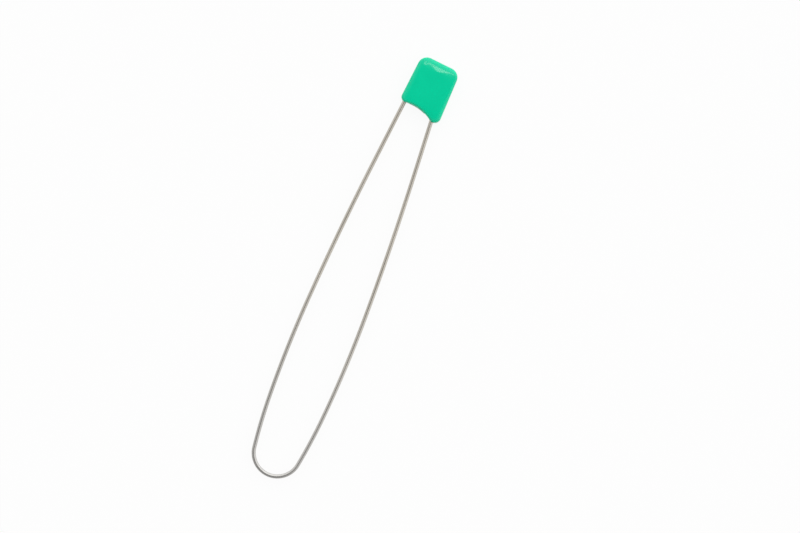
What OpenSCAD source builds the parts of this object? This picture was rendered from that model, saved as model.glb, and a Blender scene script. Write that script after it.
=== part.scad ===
// Stitch holder: a spring wire bent into a long leaf, and a moulded cap that keeps it shut.
// It lies flat, as latched: the cap's closed face looks up, the bow is at -Y, the cap at +Y.

/* [Wire] */
// Diameter of the spring wire
wire_d = 1.6; // [1.2:0.1:2]
// Radius of the bow, measured to the middle of the wire
bow_r = 9; // [7.5:0.1:11]
// Lean of a leg, outwards, where the bow ends, in degrees
bow_lean = 8.5; // [7:0.1:10.5]
// Radius of the bend just above the bow
hip_r = 215; // [170:5:260]
// Angle of that bend, in degrees
hip_turn = 5.6; // [4.6:0.1:6.8]
// Radius of the bend at the widest place
belly_r = 470; // [380:5:570]
// Angle of that bend, in degrees
belly_turn = 4.8; // [4:0.1:5.8]
// Radius of the slight bend above the widest place
flank_r = 1200; // [1000:10:1450]
// Angle of that bend, in degrees
flank_turn = 2.8; // [2.3:0.1:3.4]
// Straight stretch of a leg, from the last bend to the cap
rail_l = 22; // [16:0.5:30]
// How far the fixed leg goes into the cap
socket_l = 12; // [8:0.5:14]
// How far the free leg goes into the cap
tip_l = 14; // [10:0.5:15]
// Radius of the free leg's blunt tip, behind its taper
tip_r = 0.6; // [0.45:0.05:0.6]

/* [Cap] */
// Height of the cap, from the line where the legs enter it to its top edge
cap_h = 20.7; // [19:0.1:25]
// Thickness of the cap
cap_t = 5.2; // [4.6:0.1:6.4]
// Lean of the cap towards the free leg, in degrees
cap_lean = 4; // [0:0.5:5]
// Plastic between the fixed leg and the cap's side, and between it and the pocket
boss_wall = 1.2; // [1:0.05:1.8]
// Plastic between the free leg and the cap's other side, at the mouth
hook_wall = 2.35; // [2:0.05:3.2]
// Lean of the cap's hook side towards the cap's middle, in degrees
hook_lean = 3.3; // [2:0.1:5]
// Radius of the two corners at the top
corner_r = 3.75; // [2.5:0.05:4.5]
// Radius of the lobe round the fixed leg
boss_lobe_r = 2; // [1.95:0.05:2.4]
// Height of that lobe's middle above the line where the legs enter
boss_lobe_h = 3.45; // [2.8:0.05:4.2]
// Radius of the lobe over the free leg
hook_lobe_r = 2.4; // [2:0.05:2.9]
// Height of that lobe's middle above the same line
hook_lobe_h = 1.55; // [1.2:0.05:1.9]
// Radius of the hollow curve of the mouth, between the lobes
mouth_r = 15.5; // [12.5:0.5:20]
// Radius of the rounding round the front face
front_round = 0.9; // [0.6:0.1:1.9]
// Radius of the rounding round the back face
back_round = 0.9; // [0.4:0.1:1.2]
// Fall of the front face, from its flat middle to the middle of each side
crown = 0.5; // [0:0.05:0.6]
// How near the sides that fall begins: 2 is a plain dome, and more keeps the middle flatter
shoulder = 6; // [2:1:8]

/* [Pocket and latch] */
// Thickness of the lip and of the rest of the back wall
lip_t = 1; // [0.7:0.05:1.2]
// Rounding of the slot's edge in the back face, which leads the free leg in
lip_round = 0.4; // [0.2:0.05:0.6]
// Gap between the end of the free leg's plain round rail and the lobe of the cap over it
rail_gap = 0.3; // [0.25:0.05:1]
// Room between the free leg and the front wall of the pocket
front_gap = 0.3; // [0.2:0.05:0.5]
// Room between the free leg and the hook that it springs against
seat_gap = 0.15; // [0.1:0.05:0.3]
// Room between the free leg and the lip as it slips past it
slip_gap = 0.15; // [0.1:0.05:0.3]
// Room beyond the free leg's tip
tip_gap = 2; // [1.5:0.1:3]
// Radius of the pocket's inner corners
pocket_r = 1.2; // [0.6:0.1:1.5]
// Angle between the cap's back and the way the free leg leaves it, in degrees
slip_angle = 50; // [45:1:60]

/* [Hidden] */

wire_r = wire_d / 2;
// The middle of the wire lies half way up the cap
wire_z = cap_t / 2;
// The two halves of the wire part here, in the middle of the bow, where it twists and bends
split_gap = 0.1;
// A ball this much wider than the wire joins each arc to the next
weld = 0.004;
// The fixed leg stops this far short of its socket's end
socket_gap = 0.2;
// Overlap of cutting shapes past what they cut
over = 5;
// Straight steps in each arc of the wire, in each round stretch of the cap's outline and in its edges
arc_steps = 6;
corner_steps = 10;
lobe_steps = 12;
mouth_steps = 12;
side_steps = 5;
inner_steps = 6;
round_steps = 6;
lip_steps = 4;
crown_steps = 8;
// Power that crowds the steps across the front face towards its sides, where it falls
crown_crowd = 1.5;
// Sides of the wire where it bends, and where it is straight or ends in a ball
bend_sides = 32;
round_sides = 48;

// Path of the free leg's half of the wire, in the plane of the leaf: [radius, turn] of each arc.
// It starts in the middle of the bow, heading for +X, and always turns left.
ARCS = [[bow_r, 90 - bow_lean], [hip_r, hip_turn], [belly_r, belly_turn], [flank_r, flank_turn]];
function along(p, arc) =
    let (centre = [p[0] - arc[0] * sin(p[2]), p[1] + arc[0] * cos(p[2])], heading = p[2] + arc[1])
    [centre[0] + arc[0] * sin(heading), centre[1] - arc[0] * cos(heading), heading];
function walk(p, i) = i == len(ARCS) ? p : walk(along(p, ARCS[i]), i + 1);
rail_start = walk([0, -bow_r, 0], 0);
// Lean of a leg towards the leaf's middle line, where it enters the cap
rail_lean = rail_start[2] - 90;
entry = [rail_start[0] - rail_l * sin(rail_lean), rail_start[1] + rail_l * cos(rail_lean)];

// The cap has its own axes: u across it towards the hook, v up it from the line where the legs enter.
// A leg is given there by its distance from v's axis at v = 0 and its lean towards the other leg.
fixed_lean = rail_lean - cap_lean;
free_lean = rail_lean + cap_lean;
function fixed_u(v) = -entry[0] * cos(cap_lean) + (v + entry[0] * sin(cap_lean)) * tan(fixed_lean);
function free_u(v) = entry[0] * cos(cap_lean) - (v - entry[0] * sin(cap_lean)) * tan(free_lean);
function to_leaf(p) = [
    p[0] * cos(cap_lean) + p[1] * sin(cap_lean),
    entry[1] - p[0] * sin(cap_lean) + p[1] * cos(cap_lean)];

// A straight side is [angle of its outward normal, distance from the origin along it]
function side(angle, p) = [angle, p * [cos(angle), sin(angle)]];
function moved(s, d) = [s[0], s[1] + d];
// Middle of a circle of radius r that touches a side from within, at height v
function touching(s, r, v) = [(s[1] - r - sin(s[0]) * v) / cos(s[0]), v];
function arc(c, r, from, to, steps) = [for (i = [0:steps]) let (a = from + (to - from) * i / steps)
    [c[0] + r * cos(a), c[1] + r * sin(a)]];
function inner_points(p) = [for (i = [1:len(p) - 2]) p[i]];
// Points on the straight stretch between the end of one arc and the start of the next
function between(p, q, steps) = let (a = p[len(p) - 1])
    [for (i = [1:steps - 1]) a + (q[0] - a) * i / steps];
function angle_of(from, to) = atan2(to[1] - from[1], to[0] - from[0]);
// Lower of the two points at distance r1 from c1 and r2 from c2
function below(c1, r1, c2, r2) =
    let (d = norm(c2 - c1), e = (c2 - c1) / d, x = (r1 * r1 - r2 * r2 + d * d) / (2 * d))
    let (y = sqrt(r1 * r1 - x * x))
    c1 + x * e + y * [e[1], -e[0]];

// Sides of the cap: one runs along the fixed leg, the other leans to the cap's middle
boss_line = side(180 - fixed_lean, [fixed_u(0), 0]);
boss_side = moved(boss_line, wire_r + boss_wall);
hook_side = side(hook_lean, [free_u(hook_lobe_h) + wire_r + hook_wall, hook_lobe_h]);
hook_corner = touching(hook_side, corner_r, cap_h - corner_r);
boss_corner = touching(boss_side, corner_r, cap_h - corner_r);
boss_lobe = touching(boss_side, boss_lobe_r, boss_lobe_h);
hook_lobe = touching(hook_side, hook_lobe_r, hook_lobe_h);
mouth = below(boss_lobe, boss_lobe_r + mouth_r, hook_lobe, hook_lobe_r + mouth_r);
boss_tangent = angle_of(boss_lobe, mouth) + 360;
hook_tangent = angle_of(mouth, hook_lobe);

// Outline of the cap, inset by d: its arcs keep their middles, so every inset has the same points
function outline(d) = let (
    top_right = arc(hook_corner, corner_r - d, hook_side[0], 90, corner_steps),
    top_left = arc(boss_corner, corner_r - d, 90, boss_side[0], corner_steps),
    low_left = arc(boss_lobe, boss_lobe_r - d, boss_side[0], boss_tangent, lobe_steps),
    hollow = arc(mouth, mouth_r + d, boss_tangent - 180, hook_tangent, mouth_steps),
    low_right = arc(hook_lobe, hook_lobe_r - d, hook_tangent + 180, 360 + hook_side[0], lobe_steps))
    concat(
        top_right, between(top_right, top_left, side_steps),
        top_left, between(top_left, low_left, side_steps),
        low_left, inner_points(hollow),
        low_right, between(low_right, top_right, side_steps));

// The cap's longer lobe reaches down to this v, and the stitches' rail ends just short of that
hook_low = hook_lobe_h - hook_lobe_r;
rail_end = rail_l + (hook_low - rail_gap - entry[0] * sin(cap_lean)) / cos(free_lean);
leaf_top = max([for (p = outline(0)) to_leaf(p)[1]]);
leaf_bottom = -bow_r - wire_r;
// The origin is under the middle of the whole holder
middle_y = (leaf_top + leaf_bottom) / 2;
echo(rail_start = rail_start, rail_end = rail_end, entry = entry, middle_y = middle_y, leaf_top = leaf_top);

// Rings of the cap's skin: [inset, height] round its back, and [inset, depth below the dome] round its front
BACK = [for (i = [0:round_steps]) let (a = 90 * i / round_steps)
    [back_round * (1 - sin(a)), back_round * (1 - cos(a))]];
FRONT = [for (i = [0:round_steps]) let (a = 90 * i / round_steps)
    [front_round * (1 - cos(a)), front_round * (1 - sin(a))]];
// The front face is flat in its middle and falls towards its sides, where its rounding follows it
heart = [(boss_lobe[0] - boss_lobe_r + hook_lobe[0] + hook_lobe_r) / 2, (cap_h + hook_low) / 2];
reach = [hook_lobe[0] + hook_lobe_r - heart[0], cap_h - heart[1]];
function fall(x) = pow(abs(x), shoulder);
function dome(p) = cap_t - crown * (fall((p[0] - heart[0]) / reach[0]) + fall((p[1] - heart[1]) / reach[1]));
function at_height(ring, z) = [for (p = ring) [p[0], p[1], z]];
function under_dome(ring, drop) = [for (p = ring) [p[0], p[1], dome(p) - drop]];
function shrunk(ring, s) = [for (p = ring) heart + s * (p - heart)];
RINGS = concat(
    [for (b = BACK) at_height(outline(b[0]), b[1])],
    [for (f = FRONT) under_dome(outline(f[0]), f[1])],
    [for (i = [1:crown_steps - 1]) let (s = 1 - pow(i / crown_steps, crown_crowd))
        under_dome(shrunk(outline(front_round), s), 0)]);

// A closed skin through rings of equally many points, with a middle point on its first and last ring
module skin(rings, first, last) {
    n = len(rings[0]);
    m = len(rings);
    points = concat([for (ring = rings) each ring], [first, last]);
    walls = [for (j = [0:m - 2], i = [0:n - 1]) let (k = (i + 1) % n, a = j * n, b = a + n)
        each [[a + i, b + k, a + k], [a + i, b + i, b + k]]];
    ends = [for (i = [0:n - 1]) let (k = (i + 1) % n, t = (m - 1) * n)
        each [[m * n, i, k], [m * n + 1, t + k, t + i]]];
    polyhedron(points, concat(walls, ends), convexity = 4);
}

module in_cap_axes() {
    translate([0, entry[1] - middle_y, 0]) rotate([0, 0, -cap_lean]) children();
}

// Lip edge and slot, from the way the free leg slips out: inwards and backwards at slip_angle
lip_reach = ((wire_z - lip_t) * cos(slip_angle) - wire_r - slip_gap) / sin(slip_angle);
slot_reach = wire_z / tan(slip_angle) + (wire_r + slip_gap) / sin(slip_angle);
free_line = side(free_lean, [free_u(0), 0]);
pocket_top = tip_l + tip_gap;
pocket_left = moved(boss_line, -wire_r - boss_wall);
pocket_right = moved(free_line, wire_r + seat_gap);
slot_left = [180 + free_lean, slot_reach - free_line[1]];
slot_right = moved(free_line, -lip_reach);

// Outline of a hollow between two sides, d wider all round, with two round corners at the top and open below
function channel(left, right, d) = concat(
    arc(touching(right, pocket_r, pocket_top - pocket_r), pocket_r + d, right[0], 90, inner_steps),
    arc(touching(left, pocket_r, pocket_top - pocket_r), pocket_r + d, 90, left[0], inner_steps),
    [touching(left, -d, -over), touching(right, -d, -over)]);

module cap() {
    color("#00CC9C") in_cap_axes() difference() {
        skin(RINGS, [heart[0], heart[1], 0], [heart[0], heart[1], cap_t]);
        pocket();
        slot();
        socket();
    }
}

// Room for the free leg, between the boss and the hook, behind the front wall
module pocket() {
    translate([0, 0, lip_t]) linear_extrude(wire_z + wire_r + front_gap - lip_t)
        polygon(channel(pocket_left, pocket_right, 0));
}

// Way out through the back wall, beside the lip, with its edge in the back face rounded
module slot() {
    edge = [for (i = [0:lip_steps]) let (a = 90 * i / lip_steps)
        [lip_round * (1 - sin(a)), lip_round * (1 - cos(a))]];
    rings = concat([[lip_round, -over]], edge, [[0, wire_z]]);
    middle = [(slot_right[1] - slot_left[1]) / 2, pocket_top / 2];
    skin([for (ring = rings) at_height(channel(slot_left, slot_right, ring[0]), ring[1])],
        [middle[0], middle[1], -over], [middle[0], middle[1], wire_z]);
}

// Blind hole that grips the end of the fixed leg
module socket() {
    translate([fixed_u(0), 0, wire_z]) rotate([0, 0, -fixed_lean]) rotate([-90, 0, 0])
        translate([0, 0, -over]) cylinder(r = wire_r, h = over + socket_l + socket_gap, $fn = round_sides);
}

module bend(arc, from) {
    translate([0, arc[0], 0]) rotate([0, 0, from - 90])
        rotate_extrude(angle = arc[1] - from, $fn = arc_steps * 360 / arc[1])
            translate([arc[0], 0]) circle(r = wire_r, $fn = bend_sides);
}

module after(arc) {
    translate([0, arc[0], 0]) rotate([0, 0, arc[1]]) translate([0, -arc[0], 0]) children();
}

// Ball with its poles along the wire, so that only a narrow ring of it shows
module joint_ball() {
    rotate([0, 90, 0]) sphere(r = wire_r + weld, $fn = bend_sides);
}

// The arcs one after the other, each from the end of the last, then the children at the leg's top
module bends(i, from) {
    bend(ARCS[i], from);
    if (i > 0) joint_ball();
    after(ARCS[i]) if (i < len(ARCS) - 1) bends(i + 1, 0) children(); else children();
}

module half_wire(from) {
    translate([0, -bow_r - middle_y, wire_z]) bends(0, from) {
        joint_ball();
        rotate([0, 90, 0]) children();
    }
}

module fixed_leg() {
    color("#A3A19C") mirror([1, 0, 0]) half_wire(asin(split_gap / bow_r))
        cylinder(r = wire_r, h = rail_l + socket_l, $fn = round_sides);
}

// A plain round rail for the stitches, and beyond it the taper to the blunt tip, hidden in the cap
module free_leg() {
    tip_h = rail_l + tip_l - tip_r;
    color("#A3A19C") half_wire(0) {
        cylinder(r = wire_r, h = rail_end, $fn = round_sides);
        translate([0, 0, rail_end]) cylinder(r1 = wire_r, r2 = tip_r, h = tip_h - rail_end, $fn = round_sides);
        translate([0, 0, tip_h]) sphere(r = tip_r, $fn = round_sides);
    }
}

cap();
fixed_leg();
free_leg();
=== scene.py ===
# %% [markdown]
# # A stitch holder: one spring wire and one moulded cap
# A knitter slides live stitches onto the holder's free leg and springs its tip into the cap, and the
# stitches wait there until they are needed again. The object is plain, so its look rests on two things:
# the true sweep of the wire and two finishes, satin drawn steel and glossy coloured plastic. The packed
# model is the fixed frame for both. It could be dressed with materials alone, but its cap is faceted and
# its wire is two halves, so both are built again here, smooth and whole, in the same place and size.

# %% Load the frame
import math

import bmesh
import bpy
from mathutils import Matrix, Vector


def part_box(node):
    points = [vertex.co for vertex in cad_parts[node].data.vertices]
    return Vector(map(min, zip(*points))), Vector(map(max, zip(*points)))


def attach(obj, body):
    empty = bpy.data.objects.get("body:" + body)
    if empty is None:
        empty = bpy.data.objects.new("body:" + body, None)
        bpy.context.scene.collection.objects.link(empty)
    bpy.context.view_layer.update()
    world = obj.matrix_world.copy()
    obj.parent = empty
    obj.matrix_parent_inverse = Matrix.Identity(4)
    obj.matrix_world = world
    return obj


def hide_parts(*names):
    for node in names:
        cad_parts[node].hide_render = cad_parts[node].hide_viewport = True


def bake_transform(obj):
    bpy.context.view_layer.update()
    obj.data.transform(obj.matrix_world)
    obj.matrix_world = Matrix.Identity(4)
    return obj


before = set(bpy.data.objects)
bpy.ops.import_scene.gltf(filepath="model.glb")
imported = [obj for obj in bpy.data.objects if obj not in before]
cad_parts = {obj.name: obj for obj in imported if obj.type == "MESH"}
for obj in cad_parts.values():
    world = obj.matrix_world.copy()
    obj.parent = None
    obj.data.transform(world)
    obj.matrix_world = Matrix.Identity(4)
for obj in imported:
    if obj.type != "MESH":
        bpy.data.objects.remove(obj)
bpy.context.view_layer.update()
MM = 0.001

# %% [markdown]
# ## Places taken from the frame
# The free leg's box gives the height of the wire's middle and the bottom of the bow, and the cap's box
# gives the back that lies on the table. Everything else is measured up from these, so the smooth pieces
# cannot drift away from the model that they stand for. The leaf's own axes have their origin in the
# middle of the bow's circle, which is one bow radius above the lowest point of the wire's middle line.

# %% Heights and the leaf's origin
WIRE_R = 0.8 * MM
BOW_R = 9 * MM
leg_low, leg_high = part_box("free_leg")
cap_low, cap_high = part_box("cap")
wire_z = (leg_low.z + leg_high.z) / 2
bow_y = leg_low.y + WIRE_R + BOW_R
print("wire's middle at", round(wire_z / MM, 3), "mm, bow's centre at y", round(bow_y / MM, 3), "mm")

# %% [markdown]
# ## The path of the wire
# The real wire is bent cold round formers, so it is a chain of arcs that flow into each other, each one
# slacker than the last, with a short straight stretch below the cap. A free curve through a few points
# could copy its outline, but it would bulge between them. The chain of arcs cannot, and it is also how
# the bender works. Each half starts in the middle of the bow, and one is the mirror image of the other.

# %% Walk along arcs and straights
BENDS = [(BOW_R, 81.5), (215 * MM, 5.6), (470 * MM, 4.8), (1200 * MM, 2.8)]
STRAIGHT_L = 22 * MM
SOCKET_L = 12 * MM
TIP_L = 14 * MM
TURN_STEP = 3.0
LENGTH_STEP = 1.5 * MM


def ray(angle):
    """The unit vector at an angle in degrees."""
    return Vector((math.cos(math.radians(angle)), math.sin(math.radians(angle))))


def forward(spot, heading, radius, turn):
    """The spot and heading after an arc to the left, from a spot and a heading in degrees."""
    a, b = math.radians(heading), math.radians(heading + turn)
    centre = spot + radius * Vector((-math.sin(a), math.cos(a)))
    return centre + radius * Vector((math.sin(b), -math.cos(b))), heading + turn


def half_path(end_l):
    """Spots, headings and lengths along half the wire, with a straight of end_l inside the cap."""
    path = [(Vector((0, -BOW_R)), 0.0, 0.0)]
    for radius, turn in BENDS:
        spot, heading, run = path[-1]
        steps = math.ceil(max(turn / TURN_STEP, radius * math.radians(turn) / LENGTH_STEP))
        for i in range(1, steps + 1):
            part = turn * i / steps
            path.append((*forward(spot, heading, radius, part), run + radius * math.radians(part)))
    spot, heading, run = path[-1]
    ahead = ray(heading)
    steps = math.ceil((STRAIGHT_L + end_l) / LENGTH_STEP)
    for i in range(1, steps + 1):
        along = (STRAIGHT_L + end_l) * i / steps
        path.append((spot + ahead * along, heading, run + along))
    return path


free_path = half_path(TIP_L)
fixed_path = half_path(SOCKET_L)
tip_spot, tip_heading, _ = free_path[-1]
entry_x, entry_y = tip_spot - TIP_L * ray(tip_heading)
leg_lean = tip_heading - 90
wire_l = free_path[-1][2] + fixed_path[-1][2]
print("length of wire", round(wire_l / MM, 1), "mm, leg leans", round(leg_lean, 2))

# %% [markdown]
# ## The wire's skin
# A bevelled curve would give a tube in one line, but its ends and its surface directions could not be
# set. So each spot on the path gets a ring of points, and neighbouring rings are joined by faces. The
# free leg tapers behind the cap's front to a blunt round tip that snags no yarn, and the fixed leg ends
# in a small chamfer, deep in its socket. Each point also keeps a "grain" value: how far along the wire
# it is, and where it lies round it. The steel's draw lines follow that value.

# %% Rings along the wire
SIDES = 32
TIP_R = 0.6 * MM
RAIL_END = 20.4 * MM
CHAMFER = 0.15 * MM
TIP_STEPS = 8


def free_radius(along):
    """The free leg's radius at a length along from the start of its straight stretch."""
    taper_l = STRAIGHT_L + TIP_L - TIP_R - RAIL_END
    return WIRE_R + (TIP_R - WIRE_R) * min(max((along - RAIL_END) / taper_l, 0), 1)


def stations():
    """(spot, heading, radius, run) from the fixed leg's end, round the bow, to the free leg's tip."""
    rows = []
    end, heading, run = fixed_path[-1]
    ahead = ray(heading)
    for back, radius in ((0, WIRE_R - CHAMFER), (CHAMFER, WIRE_R)):
        spot = end - ahead * back
        rows.append((Vector((-spot.x, spot.y)), 360 - heading, radius, back - run))
    for spot, heading, run in reversed(fixed_path[1:-1]):
        rows.append((Vector((-spot.x, spot.y)), 360 - heading, WIRE_R, -run))
    straight_run = free_path[-1][2] - STRAIGHT_L - TIP_L
    for spot, heading, run in free_path:
        if run < free_path[-1][2] - TIP_R:
            rows.append((spot, heading, free_radius(run - straight_run), run))
    tip, heading, run = free_path[-1]
    ahead = ray(heading)
    for i in range(TIP_STEPS):
        a = math.pi / 2 * i / TIP_STEPS
        rows.append((tip - ahead * TIP_R * (1 - math.sin(a)), heading, TIP_R * math.cos(a), run))
    return rows


rows = stations()
print(len(rows), "rings of", SIDES, "points")

# %% Join the rings into one closed tube
SHARP = math.radians(40)


def skin(mesh, rings, point):
    """Faces between neighbouring rings, over the first ring, and from the last ring to a point."""
    count = len(rings[0])
    for low, high in zip(rings, rings[1:]):
        for i in range(count):
            k = (i + 1) % count
            mesh.faces.new((low[i], low[k], high[k], high[i]))
    mesh.faces.new(reversed(rings[0]))
    for i in range(count):
        mesh.faces.new((rings[-1][i], rings[-1][(i + 1) % count], point))


def smooth(data, sharp):
    """Smooth shading, with the edges sharp where the faces turn by more than sharp."""
    data.shade_smooth()
    data.set_sharp_from_angle(angle=sharp)


def finished(name, mesh):
    """A smooth-shaded object of a bmesh."""
    data = bpy.data.meshes.new(name)
    mesh.to_mesh(data)
    mesh.free()
    smooth(data, SHARP)
    piece = bpy.data.objects.new(name, data)
    bpy.context.scene.collection.objects.link(piece)
    return piece


def tube(name, rows):
    """A round wire through rows of (spot, heading, radius, run), with its grain kept on each point."""
    mesh = bmesh.new()
    grain = mesh.verts.layers.float_vector.new("grain")
    rings = []
    for spot, heading, radius, run in rows:
        side = Vector((math.sin(math.radians(heading)), -math.cos(math.radians(heading)), 0))
        ring = []
        for i in range(SIDES):
            a = 2 * math.pi * i / SIDES
            out = side * math.cos(a) + Vector((0, 0, math.sin(a)))
            point = mesh.verts.new(Vector((spot.x, spot.y + bow_y, wire_z)) + out * radius)
            point[grain] = Vector((run, WIRE_R * math.cos(a), WIRE_R * math.sin(a))) / MM
            ring.append(point)
        rings.append(ring)
    point = mesh.verts.new((tip_spot.x, tip_spot.y + bow_y, wire_z))
    point[grain] = Vector((rows[-1][3] / MM, 0, 0))
    skin(mesh, rings, point)
    bmesh.ops.recalc_face_normals(mesh, faces=mesh.faces)
    return finished(name, mesh)


wire = tube("spring_wire", rows)
print("wire has", len(wire.data.polygons), "faces")

# %% [markdown]
# ## The cap's outline
# The cap is a small moulding with a flat back, a gently pillowed front, two round top corners and a
# hollow mouth between two lobes. A box with bevelled edges would miss the leaning side and the hollow
# mouth. So its outline is drawn first as a chain of arcs and straights that touch each other, in the
# cap's own axes: u runs across it towards the free leg, and v runs up from the line where the legs
# enter. A straight side is kept as the angle of its outward normal and its distance from the origin.

# %% Sides, corners and lobes in the cap's axes
CAP_LEAN = 4
CAP_H = 20.7 * MM
CAP_T = cap_high.z - cap_low.z
BOSS_WALL, HOOK_WALL, HOOK_LEAN = 1.2 * MM, 2.35 * MM, 3.3
CORNER_R, BOSS_LOBE_R, HOOK_LOBE_R, MOUTH_R = 3.75 * MM, 2 * MM, 2.4 * MM, 15.5 * MM
BOSS_LOBE_H, HOOK_LOBE_H = 3.45 * MM, 1.55 * MM


def angle_between(start, end):
    """The angle, in degrees, of the way from start to end."""
    return math.degrees(math.atan2(end.y - start.y, end.x - start.x))


def side_at(angle, point):
    """The straight side through a point whose outward normal has this angle."""
    return angle, ray(angle).dot(point)


def moved(side, out):
    """A side moved outwards."""
    return side[0], side[1] + out


def touching(side, radius, v):
    """The middle, at height v, of a circle that touches a side from within."""
    return Vector(((side[1] - radius - ray(side[0]).y * v) / ray(side[0]).x, v))


lean = math.radians(CAP_LEAN)
slope_fixed = math.tan(math.radians(leg_lean - CAP_LEAN))
slope_free = math.tan(math.radians(leg_lean + CAP_LEAN))
fixed_foot = Vector((-entry_x * math.cos(lean) + entry_x * math.sin(lean) * slope_fixed, 0))
free_foot = Vector((entry_x * math.cos(lean) + entry_x * math.sin(lean) * slope_free, 0))
fixed_line = side_at(180 - leg_lean + CAP_LEAN, fixed_foot)
free_line = side_at(leg_lean + CAP_LEAN, free_foot)
boss_side = moved(fixed_line, WIRE_R + BOSS_WALL)
hook_u = free_foot.x - HOOK_LOBE_H * slope_free + WIRE_R + HOOK_WALL
hook_side = side_at(HOOK_LEAN, Vector((hook_u, HOOK_LOBE_H)))
hook_corner = touching(hook_side, CORNER_R, CAP_H - CORNER_R)
boss_corner = touching(boss_side, CORNER_R, CAP_H - CORNER_R)
boss_lobe = touching(boss_side, BOSS_LOBE_R, BOSS_LOBE_H)
hook_lobe = touching(hook_side, HOOK_LOBE_R, HOOK_LOBE_H)
print("legs enter at u", round(fixed_foot.x / MM, 2), "and", round(free_foot.x / MM, 2), "mm")

# %% The hollow mouth touches both lobes
def lower_meeting(c1, r1, c2, r2):
    """The lower of the two points at distance r1 from c1 and r2 from c2."""
    apart = c2 - c1
    along = (r1 * r1 - r2 * r2 + apart.length_squared) / (2 * apart.length)
    across = math.sqrt(r1 * r1 - along * along)
    ahead = apart.normalized()
    return c1 + ahead * along + Vector((ahead.y, -ahead.x)) * across


mouth = lower_meeting(boss_lobe, BOSS_LOBE_R + MOUTH_R, hook_lobe, HOOK_LOBE_R + MOUTH_R)
boss_turn = angle_between(boss_lobe, mouth) + 360
hook_turn = angle_between(mouth, hook_lobe)
CORNER_STEPS, LOBE_STEPS, MOUTH_STEPS, SIDE_STEPS = 24, 20, 40, 40


def arc(centre, radius, start, end, steps):
    """Points along an arc between two angles, both ends included."""
    return [centre + radius * ray(start + (end - start) * i / steps) for i in range(steps + 1)]


def between(first, second, steps):
    """Points on the straight from one arc's end to the next one's start, without its ends."""
    return [first[-1].lerp(second[0], i / steps) for i in range(1, steps)]


def outline(inset):
    """The cap's outline, moved inwards by inset."""
    top_right = arc(hook_corner, CORNER_R - inset, hook_side[0], 90, CORNER_STEPS)
    top_left = arc(boss_corner, CORNER_R - inset, 90, boss_side[0], CORNER_STEPS)
    low_left = arc(boss_lobe, BOSS_LOBE_R - inset, boss_side[0], boss_turn, LOBE_STEPS)
    hollow = arc(mouth, MOUTH_R + inset, boss_turn - 180, hook_turn, MOUTH_STEPS)
    low_right = arc(hook_lobe, HOOK_LOBE_R - inset, hook_turn + 180, 360 + hook_side[0], LOBE_STEPS)
    return [
        *top_right, *between(top_right, top_left, SIDE_STEPS),
        *top_left, *between(top_left, low_left, SIDE_STEPS),
        *low_left, *hollow[1:-1], *low_right, *between(low_right, top_right, SIDE_STEPS)]


rim = outline(0)
print(len(rim), "points round the cap, which is", round(max(p.y for p in rim) / MM, 2), "mm high")

# %% [markdown]
# ## The cap's pillowed skin
# Rings of that outline, each a little further in, climb the rounded edge of the back, the straight side
# and the rounded edge of the front, and then close over the face. The face is flat in its middle and
# falls late, near its sides and its foot. Below the top edge lies a shallow facet, tilted just enough to
# mirror the lamp. Moulded plastic shrinks unevenly as it cools, so the facet reaches further down at two
# places than beside and between them. Each of the two makes a blob of light, as on the real cap.

# %% Heights of the face
BACK_ROUND, FRONT_ROUND = 0.9 * MM, 0.9 * MM
FALL, SIDE_POWER, FOOT_POWER = 0.5 * MM, 8, 6
FACET_TOP, FACET_SLOPE, STEEPER = 2 * MM, 0.1, 0.28 / MM
FACET_LOW = [(-7.4 * MM, 2 * MM), (-5.3 * MM, 3.1 * MM), (-3.9 * MM, 1.6 * MM),
             (0.3 * MM, 3.45 * MM), (4 * MM, 1.9 * MM), (4.8 * MM, 0.7 * MM)]
RUN_OUT, RUN_SPREAD = 0.8 * MM, 2.2
left_u, right_u = boss_lobe.x - BOSS_LOBE_R, hook_lobe.x + HOOK_LOBE_R
low_v = hook_lobe.y - HOOK_LOBE_R
heart = Vector(((left_u + right_u) / 2, (CAP_H + low_v) / 2))
reach = Vector((right_u, CAP_H)) - heart


def facet_low(u):
    """How far below the top edge the facet ends, at u: smooth steps from one stop to the next."""
    for (start, first), (end, second) in zip(FACET_LOW, FACET_LOW[1:]):
        if u < end:
            share = max((u - start) / (end - start), 0)
            return first + (second - first) * (1 - math.cos(math.pi * share)) / 2
    return FACET_LOW[-1][1]


def top_fall(point):
    """How far the face falls towards its top edge: a run-out, then the facet, then a steeper part."""
    down = CAP_H - point.y
    low = facet_low(point.x)
    run_out = RUN_OUT + RUN_SPREAD * (max(deep for _, deep in FACET_LOW) - low)
    left = max(1 - max(down - low, 0) / run_out, 0)
    fall = FACET_SLOPE * (run_out / 3 * left ** 3 + max(low - down, 0))
    return fall + STEEPER * max(FACET_TOP - down, 0) ** 2 / 2


def face_z(point):
    """Height of the front face over a point of the outline's plane."""
    x = (point.x - heart.x) / reach.x
    y = (point.y - heart.y) / reach.y
    end_fall = top_fall(point) if y > 0 else FALL * abs(y) ** FOOT_POWER
    return CAP_T - FALL * abs(x) ** SIDE_POWER - end_fall


top_z = face_z(Vector((heart.x, CAP_H - FRONT_ROUND)))
print("face falls to", round(top_z / MM, 2), "mm at its top edge")

# %% Rings from the back to the middle of the face
BACK_STEPS, FRONT_STEPS, FACE_STEPS, FACE_CROWD = 8, 10, 36, 1.4


def quarter(steps):
    """Pairs of 1 - sine and 1 - cosine over a quarter turn: an edge's round as (inset, height)."""
    turns = [math.pi / 2 * i / steps for i in range(steps + 1)]
    return [(1 - math.sin(a), 1 - math.cos(a)) for a in turns]


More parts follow.
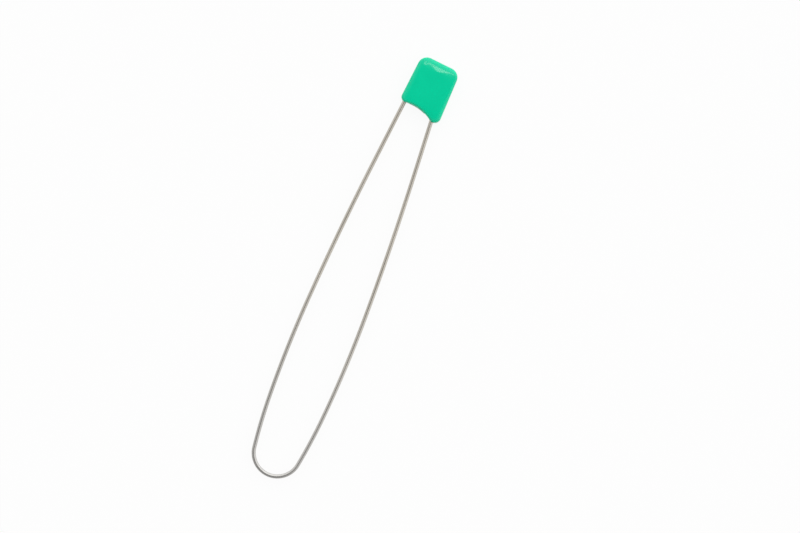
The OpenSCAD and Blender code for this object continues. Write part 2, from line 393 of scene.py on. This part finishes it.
def cap_rings():
    """Rings of points up the cap's side and in over its face."""
    rings = []
    for inset, height in quarter(BACK_STEPS):
        rings.append([(p.x, p.y, BACK_ROUND * height) for p in outline(BACK_ROUND * inset)])
    for drop, inset in quarter(FRONT_STEPS):
        rings.append([(p.x, p.y, face_z(p) - FRONT_ROUND * drop) for p in outline(FRONT_ROUND * inset)])
    inner = outline(FRONT_ROUND)
    for i in range(1, FACE_STEPS):
        share = 1 - (i / FACE_STEPS) ** FACE_CROWD
        ring = [heart + (p - heart) * share for p in inner]
        rings.append([(p.x, p.y, face_z(p)) for p in ring])
    return rings


def loft(rings, last):
    """A closed bmesh through rings of equally many points, flat below, with a middle point on top."""
    mesh = bmesh.new()
    loops = [[mesh.verts.new(p) for p in ring] for ring in rings]
    skin(mesh, loops, mesh.verts.new(last))
    return mesh


cap = finished("moulded_cap", loft(cap_rings(), (heart.x, heart.y, face_z(heart))))
print("skin has", len(cap.data.polygons), "faces")

# %% [markdown]
# ## The pocket, the slot and the socket
# The free leg springs out of the cap inwards and backwards, so the cap is hollow behind its front wall,
# and its back has a slot beside a lip that holds the leg in. The fixed leg ends in a blind hole. In the
# mould these are steel cores, and here they are cutting shapes taken out by a boolean, which keeps their
# edges as crisp as the cores leave them. The slot's edge in the back is rounded, to lead the wire in.

# %% Cutting shapes
LIP_T, LIP_ROUND, LIP_STEPS = 1 * MM, 0.4 * MM, 6
SEAT_GAP, SLIP_GAP, FRONT_GAP, TIP_GAP = 0.15 * MM, 0.15 * MM, 0.3 * MM, 2 * MM
SLIP_ANGLE = math.radians(50)
POCKET_R, POCKET_STEPS = 1.2 * MM, 10
SOCKET_GAP, SOCKET_LOOSE, OVER = 0.2 * MM, 0.01 * MM, 5 * MM
pocket_top = TIP_L + TIP_GAP
cap_wire_z = wire_z - cap_low.z
lip_reach = ((cap_wire_z - LIP_T) * math.cos(SLIP_ANGLE) - WIRE_R - SLIP_GAP) / math.sin(SLIP_ANGLE)
slot_reach = cap_wire_z / math.tan(SLIP_ANGLE) + (WIRE_R + SLIP_GAP) / math.sin(SLIP_ANGLE)
pocket_sides = moved(fixed_line, -WIRE_R - BOSS_WALL), moved(free_line, WIRE_R + SEAT_GAP)
slot_sides = (free_line[0] + 180, slot_reach - free_line[1]), moved(free_line, -lip_reach)


def channel(sides, grow):
    """Outline between two sides, grown by grow, round at its two top corners and open below."""
    left, right = sides
    level = pocket_top - POCKET_R
    return [
        *arc(touching(right, POCKET_R, level), POCKET_R + grow, right[0], 90, POCKET_STEPS),
        *arc(touching(left, POCKET_R, level), POCKET_R + grow, 90, left[0], POCKET_STEPS),
        touching(left, -grow, -OVER), touching(right, -grow, -OVER)]


def cutter(name, sides, levels):
    """A cutting shape from rows of (grow, height)."""
    rings = [[(p.x, p.y, z) for p in channel(sides, grow)] for grow, z in levels]
    middle = sum((Vector(p) for p in rings[-1]), Vector()) / len(rings[-1])
    return finished(name, loft(rings, middle))


front_wall_z = cap_wire_z + WIRE_R + FRONT_GAP
pocket = cutter("pocket_core", pocket_sides, [(0, LIP_T), (0, front_wall_z)])
slot_levels = [(LIP_ROUND * grow, LIP_ROUND * height) for grow, height in quarter(LIP_STEPS)]
slot = cutter("slot_core", slot_sides, [(LIP_ROUND, -OVER), *slot_levels, (0, cap_wire_z)])
print("slot is", round((slot_reach - lip_reach) / MM, 2), "mm wide, beside the lip")

# %% The socket's core
ROD_SIDES = 64


def rod(name, radius, start, ahead, length):
    """A straight round rod from a start point."""
    mesh = bmesh.new()
    bmesh.ops.create_cone(
        mesh, cap_ends=True, segments=ROD_SIDES, radius1=radius, radius2=radius, depth=length)
    turn = Vector((0, 0, 1)).rotation_difference(ahead).to_matrix().to_4x4()
    mesh.transform(Matrix.Translation(start + ahead * length / 2) @ turn)
    return finished(name, mesh)


fixed_turn = math.radians(leg_lean - CAP_LEAN)
fixed_ahead = Vector((math.sin(fixed_turn), math.cos(fixed_turn), 0))
socket_start = Vector((fixed_foot.x, 0, cap_wire_z)) - fixed_ahead * OVER
socket_r = WIRE_R + SOCKET_LOOSE
socket = rod("socket_core", socket_r, socket_start, fixed_ahead, OVER + SOCKET_L + SOCKET_GAP)
print("socket is", round(2 * socket_r / MM, 2), "mm wide")

# %% Cut the cores out of the cap
CUT_SHARP = math.radians(35)


def cut(piece, cores):
    """Takes the cores out of a piece, and then removes them."""
    for core in cores:
        step = piece.modifiers.new(core.name, "BOOLEAN")
        step.operation, step.solver, step.object = "DIFFERENCE", "EXACT", core
    bpy.context.view_layer.update()
    whole = piece.evaluated_get(bpy.context.evaluated_depsgraph_get())
    data = bpy.data.meshes.new_from_object(whole)
    piece.modifiers.clear()
    old, piece.data = piece.data, data
    bpy.data.meshes.remove(old)
    for core in cores:
        bpy.data.objects.remove(core)
    smooth(data, CUT_SHARP)


cut(cap, [pocket, slot, socket])
to_part = Matrix.Translation((0, entry_y + bow_y, cap_low.z)) @ Matrix.Rotation(-lean, 4, "Z")
cap.data.transform(to_part)
print("cut cap has", len(cap.data.polygons), "faces")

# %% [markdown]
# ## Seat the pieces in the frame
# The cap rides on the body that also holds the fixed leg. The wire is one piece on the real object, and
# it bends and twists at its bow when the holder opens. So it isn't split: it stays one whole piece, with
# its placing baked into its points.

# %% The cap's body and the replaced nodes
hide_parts("cap")
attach(cap, "cap_side")
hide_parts("fixed_leg", "free_leg")
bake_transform(wire)

# %% [markdown]
# ## Satin drawn steel
# Spring wire is pulled through a die, which leaves faint lines along it, and it is then only tumbled
# clean. It is a metal, so its grey comes from what it mirrors, and the fine lines spread each highlight
# across it. A plain metal would look like chrome. Two noises, both stretched along the wire by the grain
# value, give the lines: a fine one for the roughness and bump, and a slow one for the drift in tone. The
# steel is a neutral grey at the bow, and it grows a little warmer towards the cap.

# %% A material and its first node
def material(name):
    """A new material, its node tree and its Principled shader."""
    made = bpy.data.materials.new(name)
    made.use_nodes = True
    return made, made.node_tree, made.node_tree.nodes["Principled BSDF"]


def node(tree, kind, **values):
    """A node with some of its settings and plain input values set by name."""
    made = tree.nodes.new(kind)
    for key, value in values.items():
        if key in made.inputs:
            made.inputs[key].default_value = value
        else:
            setattr(made, key, value)
    return made


steel, tree, shader = material("satin_steel")
shader.inputs["Metallic"].default_value = 1.0
grain = node(tree, "ShaderNodeAttribute", attribute_name="grain").outputs["Vector"]
print("the material starts with", len(tree.nodes), "nodes")

# %% Two noises along the wire
LINE_STRETCH, LINE_DETAIL = (0.08, 6, 6), 3.0
DRIFT_STRETCH, DRIFT_DETAIL = (0.03, 0.6, 0.6), 1.0


def noise(tree, place, stretch, scale, detail):
    """A noise over a place vector that is first scaled by stretch."""
    spread = node(tree, "ShaderNodeVectorMath", operation="MULTIPLY")
    tree.links.new(place, spread.inputs[0])
    spread.inputs[1].default_value = stretch
    cloud = node(tree, "ShaderNodeTexNoise", Scale=scale, Detail=detail)
    tree.links.new(spread.outputs[0], cloud.inputs["Vector"])
    return cloud.outputs["Fac"]


lines = noise(tree, grain, LINE_STRETCH, 1.0, LINE_DETAIL)
drift = noise(tree, grain, DRIFT_STRETCH, 1.0, DRIFT_DETAIL)
print("a draw line is", round(LINE_STRETCH[1] / LINE_STRETCH[0]), "times as long as wide")

# %% The steel's colour, roughness and bump
STEEL_BOW, STEEL_LEG = (0.53, 0.52, 0.5), (0.54, 0.505, 0.445)
TINT_FROM_MM, TINT_TO_MM = 5, 90
STEEL_DRIFT, STEEL_ROUGHNESS = (0.94, 1.06), (0.24, 0.32)
LINE_DEPTH, LINE_STRENGTH = 0.004 * MM, 0.5


def ramp(tree, value, low, high, start=0.3, end=0.7):
    """A value mapped from start..end to low..high, which may be numbers or colours."""
    if isinstance(low, tuple):
        mix = node(tree, "ShaderNodeMix", data_type="RGBA")
        share = ramp(tree, value, 0.0, 1.0, start, end)
        tree.links.new(share, mix.inputs["Factor"])
        for socket_in in mix.inputs:
            if socket_in.type == "RGBA":
                socket_in.default_value = (*low, 1) if socket_in.name == "A" else (*high, 1)
        return next(out for out in mix.outputs if out.type == "RGBA")
    span = node(tree, "ShaderNodeMapRange")
    for key, number in (("From Min", start), ("From Max", end), ("To Min", low), ("To Max", high)):
        span.inputs[key].default_value = number
    tree.links.new(value, span.inputs["Value"])
    return span.outputs["Result"]


along = node(tree, "ShaderNodeSeparateXYZ")
tree.links.new(grain, along.inputs[0])
from_bow = node(tree, "ShaderNodeMath", operation="ABSOLUTE")
tree.links.new(along.outputs["X"], from_bow.inputs[0])
tint = ramp(tree, from_bow.outputs[0], STEEL_BOW, STEEL_LEG, TINT_FROM_MM, TINT_TO_MM)
shade = node(tree, "ShaderNodeVectorMath", operation="SCALE")
tree.links.new(tint, shade.inputs[0])
tree.links.new(ramp(tree, drift, *STEEL_DRIFT), shade.inputs["Scale"])
tree.links.new(shade.outputs[0], shader.inputs["Base Color"])
tree.links.new(ramp(tree, lines, *STEEL_ROUGHNESS), shader.inputs["Roughness"])
bump = node(tree, "ShaderNodeBump", Strength=LINE_STRENGTH, Distance=LINE_DEPTH)
tree.links.new(lines, bump.inputs["Height"])
tree.links.new(bump.outputs["Normal"], shader.inputs["Normal"])
wire.data.materials.clear()
wire.data.materials.append(steel)
print("steel has", len(tree.nodes), "nodes")

# %% [markdown]
# ## Glossy moulded plastic
# The cap is coloured right through, a clear mint green, and it has the gloss of a polished mould. Its
# colour and its gloss drift very slightly where the melt flowed. It needs no bumps: the uneven facet
# of its face already shapes the highlight, and a bump on top of that would only break it into grain.

# %% The plastic
MINT, MINT_DEEP = (0.0, 0.675, 0.366), (0.0, 0.645, 0.35)
PLASTIC_IOR, PLASTIC_GLOSS, PLASTIC_ROUGHNESS = 1.45, 0.35, (0.13, 0.15)
FLOW_SCALE, FLOW_DETAIL = 160.0, 2.0
plastic, tree, shader = material("mint_plastic")
shader.inputs["IOR"].default_value = PLASTIC_IOR
shader.inputs["Specular IOR Level"].default_value = PLASTIC_GLOSS
place = node(tree, "ShaderNodeTexCoord").outputs["Object"]
flow = noise(tree, place, (1, 1, 1), FLOW_SCALE, FLOW_DETAIL)
tree.links.new(ramp(tree, flow, MINT_DEEP, MINT), shader.inputs["Base Color"])
tree.links.new(ramp(tree, flow, *PLASTIC_ROUGHNESS), shader.inputs["Roughness"])
cap.data.materials.clear()
cap.data.materials.append(plastic)
print("plastic has", len(tree.nodes), "nodes")

# %% [markdown]
# ## The camera
# The photograph looks straight down on the holder, which lies turned clockwise in it. So the camera
# stands over the table and is turned the other way. One pixel shows the same length everywhere in the
# wire's plane, and the middle of the bow's circle is known in pixels, and these two fix the camera.

# %% Over the table
IMAGE_W, IMAGE_H = 800, 533
PIXEL_L = 0.379 * MM
BOW_PIXEL = (277.4, 452.75)
LEAF_TURN = math.radians(22.318)
LENS, SENSOR_W = 100, 36
CLIP_START, CLIP_END = 0.01, 50
image_right = Vector((math.cos(LEAF_TURN), math.sin(LEAF_TURN), 0))
image_up = Vector((-math.sin(LEAF_TURN), math.cos(LEAF_TURN), 0))
bow_right = (BOW_PIXEL[0] - IMAGE_W / 2) * PIXEL_L
bow_up = (IMAGE_H / 2 - BOW_PIXEL[1]) * PIXEL_L
height = IMAGE_W * PIXEL_L * LENS / SENSOR_W
eye = Vector((0, bow_y, wire_z + height)) - image_right * bow_right - image_up * bow_up
lens = bpy.data.cameras.new("camera")
lens.lens, lens.sensor_width, lens.sensor_fit = LENS, SENSOR_W, "HORIZONTAL"
lens.clip_start, lens.clip_end = CLIP_START, CLIP_END
camera = bpy.data.objects.new("camera", lens)
view_axes = Matrix((image_right, image_up, Vector((0, 0, 1)))).transposed().to_4x4()
camera.matrix_world = Matrix.Translation(eye) @ view_axes
bpy.context.scene.collection.objects.link(camera)
bpy.context.scene.camera = camera
print("camera", round(height / MM), "mm above the wire")

# %% [markdown]
# ## The table
# The holder lies on white. The floor is a pale diffuse surface that takes its soft shadow, and where the
# camera or a mirror-like surface looks at it, most of what is seen is even white instead, so that the
# shadow stays very faint. It reaches far enough to fill the view from low angles too.

# %% The floor
FLOOR_SIZE, FLOOR_DROP = 12, 0.02 * MM
WHITE_SHARE = 0.92
PAPER, PAPER_ROUGHNESS = (0.9, 0.9, 0.9), 0.9


def combined(tree, operation, first, second):
    """The result of a math node on two outputs of other nodes."""
    made = node(tree, "ShaderNodeMath", operation=operation)
    tree.links.new(first, made.inputs[0])
    tree.links.new(second, made.inputs[1])
    return made.outputs[0]


mesh = bmesh.new()
bmesh.ops.create_grid(mesh, x_segments=1, y_segments=1, size=FLOOR_SIZE / 2)
mesh.transform(Matrix.Translation((0, 0, cap_low.z - FLOOR_DROP)))
floor = finished("floor", mesh)
paper, tree, shader = material("white_paper")
shader.inputs["Base Color"].default_value = (*PAPER, 1)
shader.inputs["Roughness"].default_value = PAPER_ROUGHNESS
shader.inputs["Specular IOR Level"].default_value = 0.0
glow = node(tree, "ShaderNodeEmission", Color=(1, 1, 1, 1), Strength=1.0)
light_path = node(tree, "ShaderNodeLightPath")
seen = light_path.outputs["Is Camera Ray"]
for kind in ("Is Glossy Ray", "Is Transmission Ray"):
    seen = combined(tree, "MAXIMUM", seen, light_path.outputs[kind])
share = node(tree, "ShaderNodeMath", operation="MULTIPLY")
tree.links.new(seen, share.inputs[0])
share.inputs[1].default_value = WHITE_SHARE
mix = node(tree, "ShaderNodeMixShader")
tree.links.new(share.outputs[0], mix.inputs["Fac"])
tree.links.new(shader.outputs[0], mix.inputs[1])
tree.links.new(glow.outputs[0], mix.inputs[2])
tree.links.new(mix.outputs[0], tree.nodes["Material Output"].inputs["Surface"])
floor.data.materials.append(paper)
print("floor is", FLOOR_SIZE, "m wide")

# %% [markdown]
# ## Light
# The photograph was lit softly from its top right: the bow is bright inside and dark outside, and two
# pale blobs lie below the cap's top. A metal wire needs something to mirror on every side, so the sky is
# a smooth gradient, brightest towards that light and dim opposite. It is dark at the zenith, which keeps
# the cap's face a full green, and even and pale at the horizon. A bright patch low in it fills the bow's
# bright side, as a white wall would. One soft lamp, high up, makes the blobs. Its power is worked out
# from how bright its face should look, so its size can change without changing that.

# %% The sky's gradient
KEY_TURN, KEY_SPAN = math.radians(30), (-0.9, 0.9)
SKY_DIM, SKY_BRIGHT = 0.28, 1.65
ZENITH_SHARE, ZENITH_SPAN = 0.12, (0.9, 0.985)


def bearing(turn):
    """The level direction at a turn clockwise from image up."""
    return image_up * math.cos(turn) + image_right * math.sin(turn)


def facing(tree, way, direction):
    """How far a way points in a direction, from -1 to 1."""
    made = node(tree, "ShaderNodeVectorMath", operation="DOT_PRODUCT")
    tree.links.new(way, made.inputs[0])
    made.inputs[1].default_value = direction
    return made.outputs["Value"]


sky = bpy.data.worlds.new("sky")
sky.use_nodes = True
bpy.context.scene.world = sky
tree = sky.node_tree
way = node(tree, "ShaderNodeTexCoord").outputs["Generated"]
split = node(tree, "ShaderNodeSeparateXYZ")
tree.links.new(way, split.inputs[0])
rise = split.outputs["Z"]
gradient = ramp(tree, facing(tree, way, bearing(KEY_TURN)), SKY_DIM, SKY_BRIGHT, *KEY_SPAN)
level = combined(tree, "MULTIPLY", gradient, ramp(tree, rise, 1.0, ZENITH_SHARE, *ZENITH_SPAN))
print("sky from", SKY_DIM, "to", SKY_BRIGHT, "and", ZENITH_SHARE, "times that at the zenith")

# %% The horizon and the bright patch
HORIZON, HORIZON_SPAN = 0.95, (0.02, 0.08)
WALL, WALL_TURN, WALL_SIDES, WALL_TOP = 1.8, math.radians(33), (0.62, 0.8), (0.52, 0.64)


def towards(tree, share, value, end):
    """A value that goes over to the number end as share goes from 0 to 1."""
    made = node(tree, "ShaderNodeMix", data_type="FLOAT")
    tree.links.new(share, made.inputs["Factor"])
    tree.links.new(value, made.inputs["A"])
    made.inputs["B"].default_value = end
    return made.outputs["Result"]


level = towards(tree, ramp(tree, rise, 1.0, 0.0, *HORIZON_SPAN), level, HORIZON)
wall_sides = ramp(tree, facing(tree, way, bearing(WALL_TURN)), 0.0, 1.0, *WALL_SIDES)
wall_share = combined(tree, "MULTIPLY", wall_sides, ramp(tree, rise, 1.0, 0.0, *WALL_TOP))
level = towards(tree, wall_share, level, WALL)
tree.nodes["Background"].inputs["Color"].default_value = (1, 1, 1, 1)
tree.links.new(level, tree.nodes["Background"].inputs["Strength"])
print("horizon", HORIZON, "and bright patch", WALL, "from", len(tree.nodes), "nodes")

# %% The soft lamp
STRIP_TILT, STRIP_TURN = math.radians(20), math.radians(21)
STRIP_DISTANCE, STRIP_SIZE, STRIP_BRIGHTNESS = 1.0, (0.16, 0.05), 11


def lamp(name, tilt, turn, distance, size, brightness):
    """A soft rectangular lamp, at a tilt from the zenith and a turn clockwise from image up."""
    across = bearing(turn)
    way = across * math.sin(tilt) + Vector((0, 0, math.cos(tilt)))
    data = bpy.data.lights.new(name, "AREA")
    data.shape, data.size, data.size_y = "RECTANGLE", *size
    data.energy = brightness * math.pi * size[0] * size[1]
    made = bpy.data.objects.new(name, data)
    side = across.cross(Vector((0, 0, 1)))
    axes = Matrix((side, way.cross(side), way)).transposed().to_4x4()
    made.matrix_world = Matrix.Translation(way * distance) @ axes
    made.visible_camera = False
    bpy.context.scene.collection.objects.link(made)
    return made


strip = lamp("strip", STRIP_TILT, STRIP_TURN, STRIP_DISTANCE, STRIP_SIZE, STRIP_BRIGHTNESS)
print("lamp gives", round(strip.data.energy, 3), "W")

# %% [markdown]
# ## Finish
# The picture's tones are left as they are.

# %% View transform
bpy.context.scene.view_settings.view_transform = "Standard"
